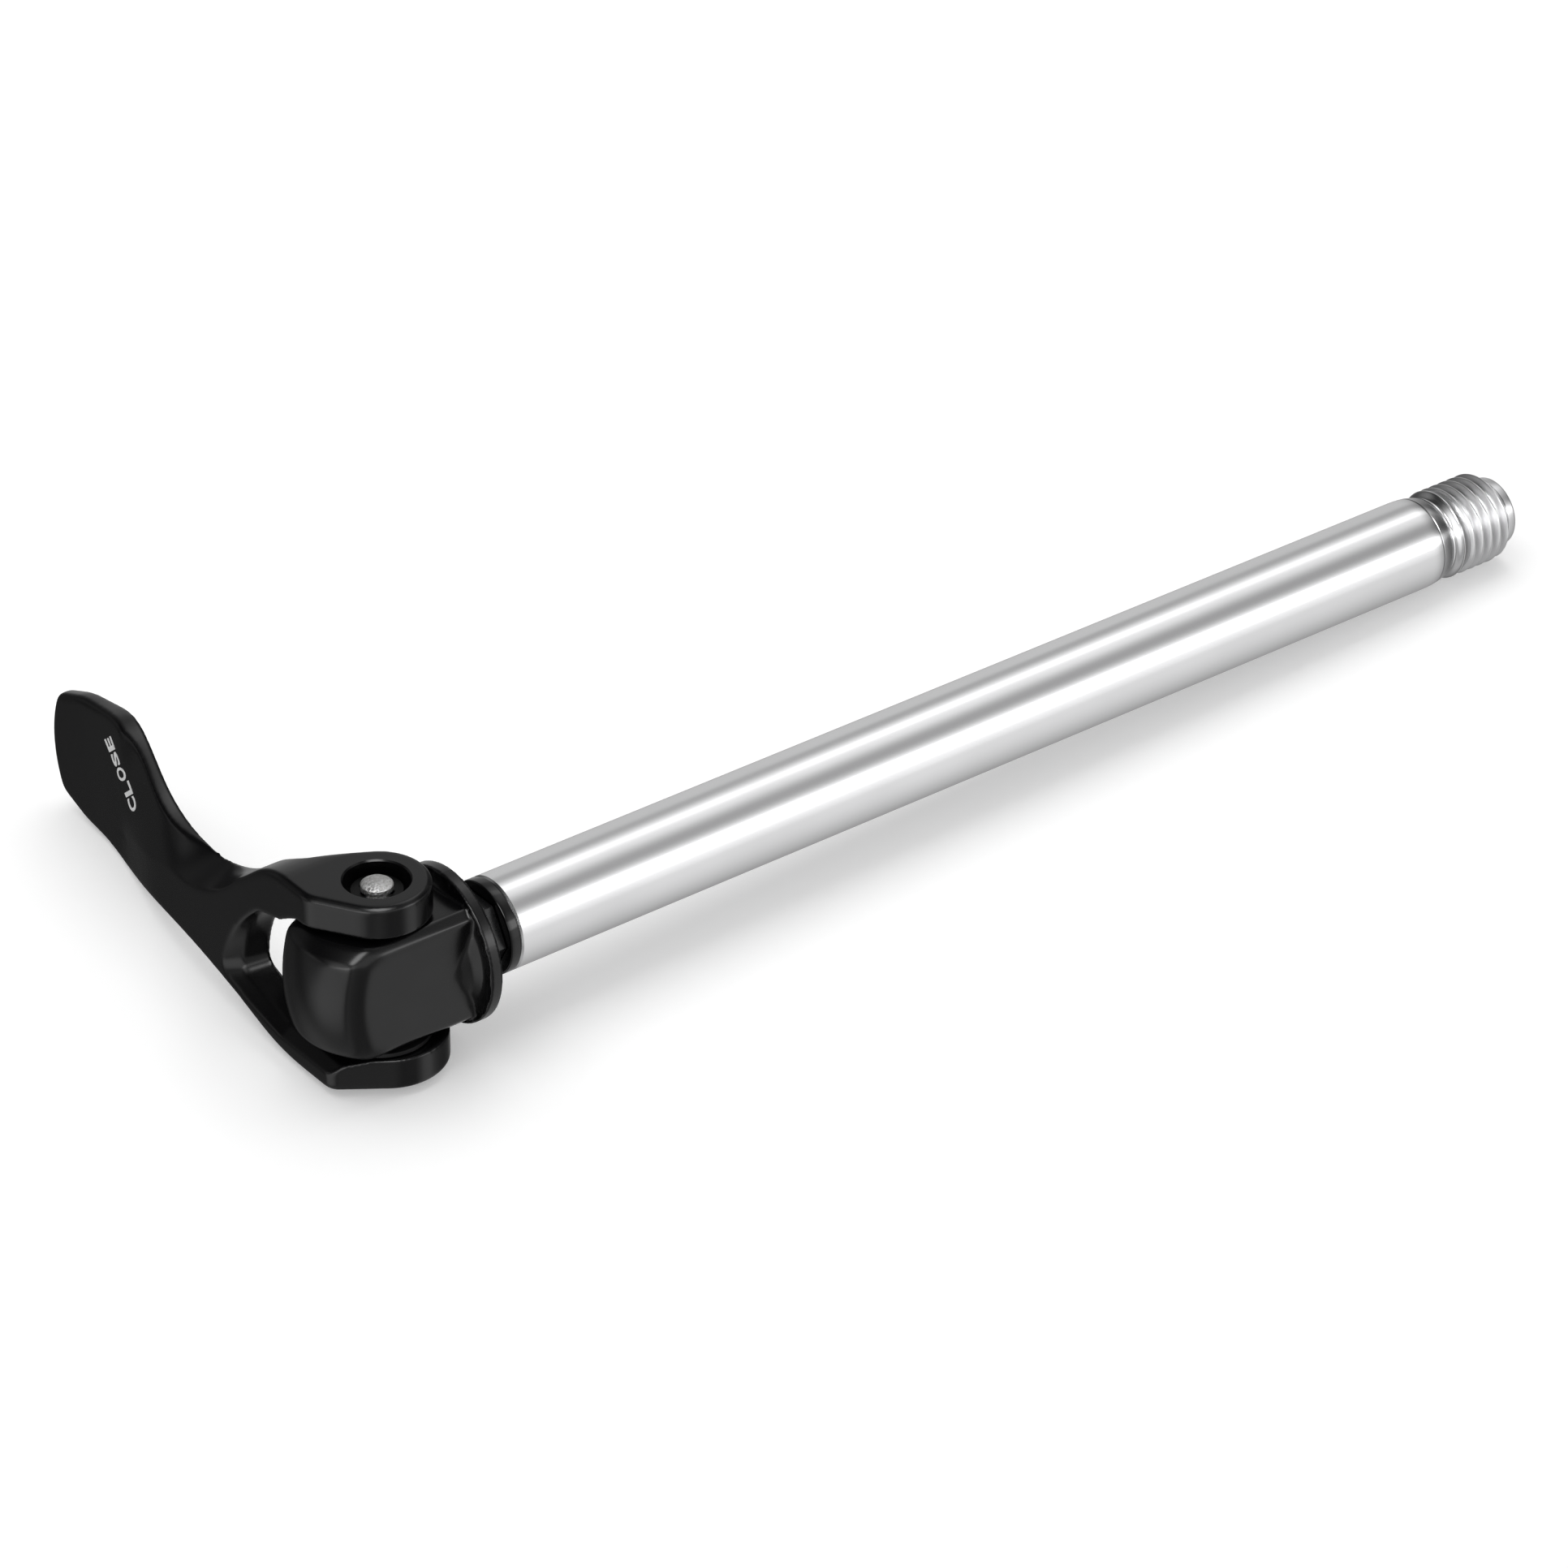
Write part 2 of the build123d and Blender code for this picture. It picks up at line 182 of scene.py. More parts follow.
def shaft_blank():
    """Outline of the turned bar, cut down to the root of the thread where the ridge goes. A fine
    line is turned round the shoulder, and the land runs out into the thread as a cone."""
    neck_start = thread_start - neck_width
    shoulder_start = neck_start - shoulder_length
    outline = [(shaft_start, shaft_bore), (shaft_start, shaft_radius - shaft_chamfer)]
    outline += [(shaft_start + shaft_chamfer, shaft_radius)]
    places = [line_place - line_half, line_place, line_place + line_half]
    for step in range(shoulder_steps + 1):
        places.append(shoulder_start + shoulder_length * step / shoulder_steps)
    for x in sorted(places):
        share = max((x - shoulder_start) / shoulder_length, 0.0)
        groove = line_depth if x == line_place else 0.0
        outline.append((x, shaft_radius - shoulder_drop * share ** shoulder_power - groove))
    outline += [(neck_start, neck_radius), (thread_start, neck_radius)]
    shares = [step / land_steps for step in range(1, land_steps + 1)]
    for share in shares:
        rise = neck_radius + (land_radius - neck_radius) * share ** 2 * (3 - 2 * share)
        outline.append((thread_start + (land_end - thread_start) * share, rise))
    for share in shares:
        fall = land_radius + (thread_root - land_radius) * share
        outline.append((land_end + land_fall * share, fall))
    cone_left = thread_chamfer * (thread_root - pilot_radius) / (thread_crest - pilot_radius)
    outline += [(thread_end - cone_left, thread_root), (thread_end, pilot_radius)]
    pilot_corner = shaft_end - pilot_round, pilot_radius - pilot_round
    outline += arc_points(pilot_corner, pilot_round, 90, 0)
    outline += [(shaft_end, shaft_bore + shaft_chamfer), (shaft_end - shaft_chamfer, shaft_bore)]
    return outline


def thread_tree(sizes):
    """Geometry nodes that lay a right-handed ridge about the X axis on a turned bar: a sheet of
    stations along the helix, rolled into a closed profile with a flat crest and round valleys.
    The ridge swells from a point at both ends, and its end is cut back to the chamfer's cone."""
    tree = bpy.data.node_groups.new("thread ridge", "GeometryNodeTree")
    face = tree.interface
    face.new_socket("Bar", in_out="INPUT", socket_type="NodeSocketGeometry")
    for name in sizes:
        face.new_socket(name, in_out="INPUT", socket_type="NodeSocketFloat")
    for name in ("Bar finish", "Thread finish"):
        face.new_socket(name, in_out="INPUT", socket_type="NodeSocketMaterial")
    face.new_socket("Threaded bar", in_out="OUTPUT", socket_type="NodeSocketGeometry")
    given = add_node(tree, "NodeGroupInput").outputs
    place = add_node(tree, "GeometryNodeInputPosition").outputs[0]
    axes = add_node(tree, "ShaderNodeSeparateXYZ", _0=place).outputs

    # The sheet is 1 by 1 about its middle: x goes by stations, y round the profile. Its outermost
    # rows are rolled in and meet inside the bar, where they close the profile.
    last_row = 0.5 - 1 / (ridge_points - 1)
    seam_row = (last_row + 0.5) / 2
    values = {name: given[name] for name in sizes}
    values.update({"sheet x": axes["X"], "sheet y": axes["Y"], "bar x": axes["X"]})
    steps = (
        ("share", "ADD", "sheet x", 0.5),
        ("turn", "MULTIPLY", "share", "Turns"),
        ("angle", "MULTIPLY", "turn", TURN),
        ("turns left", "SUBTRACT", "Turns", "turn"),
        ("from end", "MINIMUM", "turn", "turns left"),
        ("swell", "DIVIDE", "from end", ridge_taper),
        ("body", "MINIMUM", "swell", 1.0),
        ("from middle", "ABSOLUTE", "sheet y"),
        ("rolled in", "GREATER_THAN", "from middle", seam_row),
        ("outside", "SUBTRACT", 1.0, "rolled in"),
        ("across", "DIVIDE", "sheet y", last_row),
        ("side", "MULTIPLY", "across", "outside"),
        ("side pitch", "MULTIPLY", "side", "Pitch"),
        ("full width", "MULTIPLY", "side pitch", pitch_share),
        ("width", "MULTIPLY", "full width", "body"),
        ("along", "MULTIPLY_ADD", "turn", "Pitch", "Start"),
        ("x", "ADD", "along", "width"),
        ("from crest", "ABSOLUTE", "side"),
        ("past crest", "SUBTRACT", "from crest", crest_share),
        ("down flank", "MAXIMUM", "past crest", 0.0),
        ("flank", "MULTIPLY", "down flank", TURN / 4 / (1 - crest_share)),
        ("dip", "SINE", "flank"),
        ("fall", "MULTIPLY", "dip", "Depth"),
        ("outer", "SUBTRACT", "Crest radius", "fall"),
        ("root", "SUBTRACT", "Crest radius", "Depth"),
        ("core", "SUBTRACT", "root", ridge_sunk),
        ("wall", "SUBTRACT", "outer", "core"),
        ("full height", "MULTIPLY", "wall", "outside"),
        ("height", "MULTIPLY", "full height", "body"),
        ("ridge", "ADD", "core", "height"),
        ("past cone start", "SUBTRACT", "x", "Cone start"),
        ("cone length", "SUBTRACT", "Cone end", "Cone start"),
        ("cone ratio", "DIVIDE", "past cone start", "cone length"),
        ("cone ratio from 0", "MAXIMUM", "cone ratio", 0.0),
        ("cone share", "MINIMUM", "cone ratio from 0", 1.0),
        ("cone drop", "SUBTRACT", "Cone radius", "Crest radius"),
        ("cone", "MULTIPLY_ADD", "cone share", "cone drop", "Crest radius"),
        ("radius", "MINIMUM", "ridge", "cone"),
        ("cosine", "COSINE", "angle"),
        ("y", "MULTIPLY", "radius", "cosine"),
        ("sine", "SINE", "angle"),
        ("z", "MULTIPLY", "radius", "sine"),
        ("cut end", "GREATER_THAN", "bar x", "Cut from"),
    )
    for name, operation, *terms in steps:
        inputs = {f"_{at}": values.get(term, term) for at, term in enumerate(terms)}
        step = add_node(tree, "ShaderNodeMath", {"operation": operation}, **inputs)
        values[name] = step.outputs[0]

    sheet = add_node(
        tree, "GeometryNodeMeshGrid",
        Size_X=1.0, Size_Y=1.0, Vertices_X=ridge_stations, Vertices_Y=ridge_points,
    ).outputs["Mesh"]
    wound = add_node(
        tree, "ShaderNodeCombineXYZ", X=values["x"], Y=values["y"], Z=values["z"],
    ).outputs[0]
    ridge = add_node(tree, "GeometryNodeSetPosition", Geometry=sheet, Position=wound).outputs[0]
    closed = add_node(
        tree, "GeometryNodeMergeByDistance", Geometry=ridge, Distance=seam_weld,
    ).outputs[0]
    cut_ridge = add_node(
        tree, "GeometryNodeSetMaterial", Geometry=closed, Material=given["Thread finish"],
    ).outputs[0]
    cut_bar = add_node(
        tree, "GeometryNodeSetMaterial",
        Geometry=given["Bar"], Selection=values["cut end"], Material=given["Thread finish"],
    ).outputs[0]
    both = add_node(tree, "GeometryNodeJoinGeometry")
    tree.links.new(cut_ridge, both.inputs[0])
    tree.links.new(cut_bar, both.inputs[0])
    smooth = add_node(tree, "GeometryNodeSetShadeSmooth", Geometry=both.outputs[0]).outputs[0]
    real = add_node(tree, "GeometryNodeRealizeInstances", Geometry=smooth).outputs[0]
    threaded = add_node(
        tree, "GeometryNodeMaterialSelection", Material=given["Thread finish"],
    ).outputs[0]
    plain = add_node(tree, "FunctionNodeBooleanMath", {"operation": "NOT"}, _0=threaded).outputs[0]
    dressed = add_node(
        tree, "GeometryNodeSetMaterial",
        Geometry=real, Selection=plain, Material=given["Bar finish"],
    ).outputs[0]
    add_node(tree, "NodeGroupOutput", _0=dressed)
    return tree


def polished_aluminium():
    """Clear anodised aluminium, polished after turning: broad soft bands of light along the bar,
    with very fine turning lines round it that only break up the reflections a little. The lines
    are drawn coarser than real ones, which would be too fine to show."""
    material, tree, shader = new_finish("polished clear anodised aluminium")
    line_spacing = 0.25 * MM
    line_length = 9.0 * MM
    mottle = 14.0 * MM
    place = add_node(tree, "ShaderNodeTexCoord").outputs["Object"]
    stretched = add_node(
        tree, "ShaderNodeMapping",
        Vector=place, Scale=(1 / line_spacing, 1 / line_length, 1 / line_length),
    ).outputs[0]
    lines = add_node(
        tree, "ShaderNodeTexNoise", Vector=stretched, Scale=1.0, Detail=2.0,
    ).outputs["Fac"]
    clouds = add_node(
        tree, "ShaderNodeTexNoise", Vector=place, Scale=1 / mottle, Detail=3.0,
    ).outputs["Fac"]
    rough = add_node(
        tree, "ShaderNodeMapRange", Value=clouds, **noise_span, To_Min=0.17, To_Max=0.23,
    ).outputs[0]
    bump = add_node(
        tree, "ShaderNodeBump", Height=lines, Strength=0.04, Distance=0.02 * MM,
    ).outputs[0]
    shader.inputs["Base Color"].default_value = linear(bare_metal)
    shader.inputs["Metallic"].default_value = 1.0
    tree.links.new(rough, shader.inputs["Roughness"])
    tree.links.new(bump, shader.inputs["Normal"])
    return material


def cut_aluminium():
    """Anodised aluminium as the threading tool leaves it: the same bright metal, but duller than
    the polished bar, so that each flank of the thread keeps one even tone."""
    material, tree, shader = new_finish("cut clear anodised aluminium")
    tool_marks = 0.3 * MM
    place = add_node(tree, "ShaderNodeTexCoord").outputs["Object"]
    marks = add_node(
        tree, "ShaderNodeTexNoise", Vector=place, Scale=1 / tool_marks, Detail=2.0,
    ).outputs["Fac"]
    rough = add_node(
        tree, "ShaderNodeMapRange", Value=marks, **noise_span, To_Min=0.29, To_Max=0.35,
    ).outputs[0]
    shader.inputs["Base Color"].default_value = linear(bare_metal)
    shader.inputs["Metallic"].default_value = 1.0
    tree.links.new(rough, shader.inputs["Roughness"])
    return material


aluminium = polished_aluminium()
shaft_mesh = lathe("turned_shaft", shaft_blank(), shaft_segments)
turned_shaft = new_piece("turned_shaft", shaft_mesh, aluminium)
thread_sizes = {
    "Start": ridge_start,
    "Turns": thread_turns,
    "Pitch": thread_pitch,
    "Crest radius": thread_crest,
    "Depth": thread_depth,
    "Cone start": thread_end - thread_chamfer,
    "Cone end": thread_end,
    "Cone radius": pilot_radius - chamfer_sunk,
    "Cut from": land_end,
}
thread_inputs = {**thread_sizes, "Bar finish": aluminium, "Thread finish": cut_aluminium()}
thread_cut = turned_shaft.modifiers.new("thread", "NODES")
thread_cut.node_group = thread_tree(thread_sizes)
for item in thread_cut.node_group.interface.items_tree:
    if item.in_out == "INPUT" and item.name in thread_inputs:
        thread_cut[item.identifier] = thread_inputs[item.name]
turned_shaft.data = evaluated_mesh(turned_shaft)
turned_shaft.data.set_sharp_from_angle(angle=sharp_angle)
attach(turned_shaft, "axle")
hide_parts("axle_shaft")


# Collar ring: a thin ring of black nylon, moulded in a polished mould and so glossy. It is pushed
# on the neck of the stem, tight against the end of the tube.
collar_low, collar_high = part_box("collar_ring")
collar_bore = 4.22 * MM
collar_edge = 0.22 * MM
collar_segments = 160


def collar_outline():
    """Outline of the ring, with both outer edges rounded."""
    left, right = collar_low.x, collar_high.x
    corner = collar_high.z - collar_edge
    outline = [(left, collar_bore)]
    outline += arc_points((left + collar_edge, corner), collar_edge, 180, 90)
    outline += arc_points((right - collar_edge, corner), collar_edge, 90, 0)
    return outline + [(right, collar_bore)]


def gloss_black():
    """Glossy moulded nylon: nearly black, with hard bright reflections of the lamps."""
    material, _, shader = new_finish("gloss black moulded nylon")
    shader.inputs["Base Color"].default_value = linear("#060607")
    shader.inputs["Roughness"].default_value = 0.08
    return material


collar_mesh = lathe("gloss_collar", collar_outline(), collar_segments)
gloss_collar = new_piece("gloss_collar", collar_mesh, gloss_black())
gloss_collar.data.set_sharp_from_angle(angle=sharp_angle)
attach(gloss_collar, "axle")
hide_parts("collar_ring")


# Cam stem: a steel hexagon with a flat eye round the cam, a neck for the collar and a spigot that
# is pressed into the tube. It is forged, milled and blackened; the hexagon shows at the flange.
stem_edge = 0.15 * MM
hexagon_end = 2.8 * MM
hexagon_reach = 3.85 * MM
same_place = 0.01 * MM
bevel_segments = 3


def merged_copy(node):
    """Copy of a CAD node's mesh with its loose triangles joined."""
    mesh = nodes[node].data.copy()
    shape = bmesh.new()
    shape.from_mesh(mesh)
    bmesh.ops.remove_doubles(shape, verts=shape.verts, dist=seam_weld)
    shape.to_mesh(mesh)
    shape.free()
    return mesh


def ease_edges(piece, width):
    """Breaks the sharp edges of a piece with a small round."""
    eased = piece.modifiers.new("eased edges", "BEVEL")
    eased.width = width
    eased.segments = bevel_segments
    eased.limit_method = "ANGLE"
    eased.angle_limit = sharp_angle
    piece.data = evaluated_mesh(piece)
    piece.data.set_sharp_from_angle(angle=sharp_angle)


def blackened_steel():
    """Blackened steel: a dark grey sheen without a tint, with a soft highlight on each flat."""
    material, tree, shader = new_finish("blackened steel")
    oxide_grain = 0.3 * MM
    place = add_node(tree, "ShaderNodeTexCoord").outputs["Object"]
    grain = add_node(
        tree, "ShaderNodeTexNoise", Vector=place, Scale=1 / oxide_grain, Detail=3.0,
    ).outputs["Fac"]
    rough = add_node(
        tree, "ShaderNodeMapRange", Value=grain, **noise_span, To_Min=0.25, To_Max=0.38,
    ).outputs[0]
    shader.inputs["Base Color"].default_value = linear("#141415")
    tree.links.new(rough, shader.inputs["Roughness"])
    return material


hex_stem = new_piece("hex_stem", merged_copy("cam_stem"), blackened_steel())
for vertex in hex_stem.data.vertices:
    if abs(vertex.co.x - hexagon_end) < same_place:
        vertex.co.x = hexagon_reach
ease_edges(hex_stem, stem_edge)
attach(hex_stem, "axle")
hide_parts("cam_stem")


# Cam housing: block, trumpet and clamping flange forged in one piece of aluminium, shot-blasted,
# then coated satin black. The pin runs across it in two plastic bushes.
skin_voxel = 0.2 * MM
forging_passes = 60
forging_pull = 0.5
flange_back = -2.0 * MM
flange_radius = 10.0 * MM
flange_seen = 1.8 * MM
flange_chamfer = 0.35 * MM
flange_edge = 0.15 * MM
flange_near = 0.05 * MM
turned_softness = 0.04
block_softness = 0.15
end_softness = 1.0
block_front = -4.0 * MM
block_end = -13.0 * MM


def forged(name, mesh, material, softness):
    """A mesh in an even skin of small faces, its edges softened like a forging's; the softness at
    a place goes from 0 to 1."""
    piece = new_piece(name, mesh, material)
    skin = piece.modifiers.new("even skin", "REMESH")
    skin.mode = "VOXEL"
    skin.voxel_size = skin_voxel
    skin.use_smooth_shade = True
    piece.data = evaluated_mesh(piece)
    softened = piece.vertex_groups.new(name="softened")
    for vertex in piece.data.vertices:
        softened.add([vertex.index], softness(vertex.co), "REPLACE")
    soft = piece.modifiers.new("blasted edges", "SMOOTH")
    soft.factor = forging_pull
    soft.iterations = forging_passes
    soft.vertex_group = softened.name
    piece.data = evaluated_mesh(piece)
    piece.vertex_groups.clear()
    return piece


def housing_blank():
    """Copy of the housing with the flange as thick and as sharp-edged as it looks in the photo."""
    mesh = merged_copy("cam_housing")
    for vertex in mesh.vertices:
        place = vertex.co
        radius = math.hypot(place.y, place.z)
        if radius > flange_radius - flange_near:
            front = abs(place.x + flange_chamfer) < flange_near
            place.x = -flange_edge if front else flange_edge - flange_seen
        elif abs(radius - flange_radius + flange_chamfer) < flange_near:
            grow = (flange_radius - flange_edge) / radius
            place.x = 0.0 if abs(place.x) < flange_near else -flange_seen
            place.y *= grow
            place.z *= grow
    return mesh


def housing_softness(place):
    """The clamping flange is turned after forging and keeps crisp edges; the outer end is round."""
    if place.x > flange_back:
        return turned_softness
    share = min(max((place.x - block_front) / (block_end - block_front), 0.0), 1.0)
    return block_softness + (end_softness - block_softness) * share


def satin_black():
    """Satin black paint baked on blasted aluminium: deep black with wide, soft, grey highlights and
    the faint grain of the blasted metal under it."""
    material, tree, shader = new_finish("satin black coat on blasted aluminium")
    grit = 0.22 * MM
    cloud = 6.0 * MM
    place = add_node(tree, "ShaderNodeTexCoord").outputs["Object"]
    grain = add_node(
        tree, "ShaderNodeTexNoise", Vector=place, Scale=1 / grit, Detail=2.0,
    ).outputs["Fac"]
    clouds = add_node(
        tree, "ShaderNodeTexNoise", Vector=place, Scale=1 / cloud, Detail=3.0,
    ).outputs["Fac"]
    rough = add_node(
        tree, "ShaderNodeMapRange", Value=clouds, **noise_span, To_Min=0.2, To_Max=0.25,
    ).outputs[0]
    bump = add_node(
        tree, "ShaderNodeBump", Height=grain, Strength=0.03, Distance=0.03 * MM,
    ).outputs[0]
    shader.inputs["Base Color"].default_value = linear("#080809")
    tree.links.new(rough, shader.inputs["Roughness"])
    tree.links.new(bump, shader.inputs["Normal"])
    return material


black_coat = satin_black()
forged_housing = forged("forged_housing", housing_blank(), black_coat, housing_softness)
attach(forged_housing, "housing")
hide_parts("cam_housing")


# Pin bushes: two flanged bushes moulded in black acetal and pushed into the housing's cross bore.
# Their rims keep the fork of the lever clear of the housing.
def dress(node, material):
    """Gives a CAD node its finish."""
    nodes[node].data.materials.clear()
    nodes[node].data.materials.append(material)


def acetal():
    """Moulded acetal: black, waxy and a little glossy."""
    material, tree, shader = new_finish("moulded black acetal")
    ripple = 0.5 * MM
    place = add_node(tree, "ShaderNodeTexCoord").outputs["Object"]
    skin = add_node(
        tree, "ShaderNodeTexNoise", Vector=place, Scale=1 / ripple, Detail=2.0,
    ).outputs["Fac"]
    bump = add_node(
        tree, "ShaderNodeBump", Height=skin, Strength=0.05, Distance=0.02 * MM,
    ).outputs[0]
    shader.inputs["Base Color"].default_value = linear("#121213")
    shader.inputs["Roughness"].default_value = 0.45
    tree.links.new(bump, shader.inputs["Normal"])
    return material


bush_plastic = acetal()
for bush in ("pin_bush_upper", "pin_bush_lower"):
    dress(bush, bush_plastic)


# Lever: fork, handle and paddle forged in one piece of aluminium, blasted and coated satin black
# like the housing. The pin goes through both arms of the fork, and its tip stands in a recess that
# is counterbored in the upper one.
pin_axis = -10.65 * MM
pin_hole = 1.87 * MM
arm_inner = 8.5 * MM
arm_top = 12.8 * MM
recess_radius = 4.0 * MM
recess_floor = 10.2 * MM
recess_rim = 0.18 * MM
recess_segments = 96
plug_margin = 0.3 * MM
cutter_overrun = 1.0 * MM
fork_softness = 0.14
handle_softness = 0.4
fork_end = 6.0 * MM
handle_start = 20.0 * MM


def lever_softness(place):
    """The fork's edges are trimmed after forging; the handle is left round."""
    share = min(max((place.y - fork_end) / (handle_start - fork_end), 0.0), 1.0)
    return fork_softness + (handle_softness - fork_softness) * share


def on_pin(name, outline):
    """Mesh of an outline of (height, radius) points turned about the pin's axis."""
    mesh = lathe(name, outline, recess_segments)
    upright = Matrix.Rotation(-math.pi / 2, 4, "Y")
    mesh.transform(Matrix.Translation((pin_axis, 0, 0)) @ upright)
    return mesh


def lever_blank():
    """Copy of the lever with the recess round the pin's tip filled up."""
    wide = recess_radius + plug_margin
    low = arm_inner + plug_margin
    plug = on_pin("plug", [(low, 0.0), (low, wide), (arm_top, wide), (arm_top, 0.0)])
    shape = bmesh.new()
    shape.from_mesh(merged_copy("lever"))
    shape.from_mesh(plug)
    mesh = bpy.data.meshes.new("lever_blank")
    shape.to_mesh(mesh)
    shape.free()
    return mesh


def recess_outline():
    """Outline of the counterbore's cutter: pin hole, flat floor, wall and a chamfer at the rim."""
    above = arm_top + cutter_overrun
    below = arm_inner - cutter_overrun
    rim_foot = arm_top - recess_rim
    outline = [(below, 0.0), (below, pin_hole), (recess_floor, pin_hole)]
    outline += [(recess_floor, recess_radius), (rim_foot, recess_radius)]
    return outline + [(above, recess_radius + above - rim_foot), (above, 0.0)]


forged_lever = forged("forged_lever", lever_blank(), black_coat, lever_softness)
recess_mesh = on_pin("recess_cutter", recess_outline())
recess_cutter = new_piece("recess_cutter", recess_mesh, black_coat)
counterbore = forged_lever.modifiers.new("recess", "BOOLEAN")
counterbore.operation = "DIFFERENCE"
counterbore.solver = "EXACT"
counterbore.object = recess_cutter
forged_lever.data = evaluated_mesh(forged_lever)
bpy.data.objects.remove(recess_cutter)
forged_lever.data.set_sharp_from_angle(angle=sharp_angle)
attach(forged_lever, "lever")
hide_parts("lever")


# Function word on the paddle: one word in white ink, pad-printed as a thin film on the finished
# coat. It faces outwards when the lever is shut.
word_foot = Vector((0, 45.2, 1.0)) * MM, Vector((0, 52.7, 7.5)) * MM
word_top = Vector((0, 47.2, -0.7)) * MM, Vector((0, 54.6, 6.0)) * MM
word_way = Vector((-1, 0, 0))
word_standoff = 50 * MM
stroke_gain = 0.03
letter_gap = 0.12
letter_depth = 0.1
letter_steps = 6
ink_thickness = 0.03 * MM


def printing_ink():
    """White pad-printing ink: a thin matt film, slightly grey where it is thin."""
    material, tree, shader = new_finish("white pad printing ink")
    blotch = 0.4 * MM
    place = add_node(tree, "ShaderNodeTexCoord").outputs["Object"]
    film = add_node(
        tree, "ShaderNodeTexNoise", Vector=place, Scale=1 / blotch, Detail=2.0,
    ).outputs["Fac"]
    tone = add_node(
        tree, "ShaderNodeMix", {"data_type": "RGBA"},
        Factor=film, _6=linear("#D4D4D4"), _7=linear("#E4E4E4"),
    ).outputs[2]
    tree.links.new(tone, shader.inputs["Base Color"])
    shader.inputs["Roughness"].default_value = 0.6
    return material


def printed_word(name, word, carrier):
    """Mesh of a word laid on the outer face of a piece, every letter in a cell of the same width.
    The front of a letter lies on the face and its back just inside it."""
    shape = bmesh.new()
    surface = BVHTree.FromObject(carrier, bpy.context.evaluated_depsgraph_get())
    for index, letter in enumerate(word):
        curve = bpy.data.curves.new(name, "FONT")
        curve.body = letter
        curve.resolution_u = letter_steps
        curve.offset = stroke_gain
        curve.extrude = letter_depth
        draft = bpy.data.objects.new(name + "_draft", curve)
        bpy.context.scene.collection.objects.link(draft)
        mesh = evaluated_mesh(draft)
        bpy.data.objects.remove(draft)
        xs = [vertex.co.x for vertex in mesh.vertices]
        ys = [vertex.co.y for vertex in mesh.vertices]
        left, right, bottom, top = min(xs), max(xs), min(ys), max(ys)
        for vertex in mesh.vertices:
            across = (vertex.co.x - left) / (right - left)
            above = (vertex.co.y - bottom) / (top - bottom)
            along = (index + letter_gap / 2 + across * (1 - letter_gap)) / len(word)
            foot = word_foot[0].lerp(word_foot[1], along)
            place = foot.lerp(word_top[0].lerp(word_top[1], along), above)
            hit, normal, _, _ = surface.ray_cast(place + word_way * word_standoff, -word_way)
            vertex.co = hit + normal * math.copysign(ink_thickness, vertex.co.z)
        shape.from_mesh(mesh)
    bmesh.ops.remove_doubles(shape, verts=shape.verts, dist=seam_weld)
    bmesh.ops.recalc_face_normals(shape, faces=shape.faces)
    word_mesh = bpy.data.meshes.new(name)
    shape.to_mesh(word_mesh)
    shape.free()
    return word_mesh


word_mesh = printed_word("close_word", "CLOSE", forged_lever)
close_word = new_piece("close_word", word_mesh, printing_ink())
close_word.data.set_sharp_from_angle(angle=sharp_angle)
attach(close_word, "lever")


# Cam pin and clip: a turned steel pin with the eccentric in its middle, and the spring clip that
# holds its tip in the upper arm. The pin's ends are cut and left bright; the clip is blackened.
tip_foot = 11.45 * MM
tip_radius = 1.85 * MM
tip_peened = 1.95 * MM
tip_edge = 0.16 * MM
tip_near = 0.05 * MM


def cropped_steel():
    """Bright steel with a cropped, grainy end: small sparkling facets instead of one reflection."""
    material, tree, shader = new_finish("bright turned steel, grainy end")
    facet = 0.35 * MM
    place = add_node(tree, "ShaderNodeTexCoord").outputs["Object"]
    grain = add_node(
        tree, "ShaderNodeTexNoise", Vector=place, Scale=1 / facet, Detail=4.0,
    ).outputs["Fac"]
    bump = add_node(
        tree, "ShaderNodeBump", Height=grain, Strength=0.8, Distance=0.3 * MM,
    ).outputs[0]
    spread = add_node(
        tree, "ShaderNodeMapRange",
        Value=grain, From_Min=0.35, From_Max=0.65, To_Min=0.0, To_Max=1.0,
    ).outputs[0]
    tone = add_node(
        tree, "ShaderNodeMix", {"data_type": "RGBA"},
        Factor=spread, _6=linear("#E2E1DF"), _7=linear("#FFFFFF"),
    ).outputs[2]
    tree.links.new(tone, shader.inputs["Base Color"])
    shader.inputs["Metallic"].default_value = 1.0
    shader.inputs["Roughness"].default_value = 0.5
    tree.links.new(bump, shader.inputs["Normal"])
    return material


def phosphated_steel():
    """Phosphated and oiled spring steel: dead black, it hardly shows in the shade of the recess."""
    material, _, shader = new_finish("phosphated spring steel")
    shader.inputs["Base Color"].default_value = linear("#040404")
    shader.inputs["Specular IOR Level"].default_value = 0.15
    shader.inputs["Roughness"].default_value = 0.3
    return material


peened_pin = new_piece("peened_pin", merged_copy("cam_pin"), cropped_steel())
for vertex in peened_pin.data.vertices:
    radius = math.hypot(vertex.co.x - pin_axis, vertex.co.y)
    if vertex.co.z > tip_foot and radius > tip_radius - tip_near:
        vertex.co.x = pin_axis + (vertex.co.x - pin_axis) * tip_peened / radius
        vertex.co.y *= tip_peened / radius
ease_edges(peened_pin, tip_edge)
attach(peened_pin, "lever")
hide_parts("cam_pin")
dress("pin_clip", phosphated_steel())


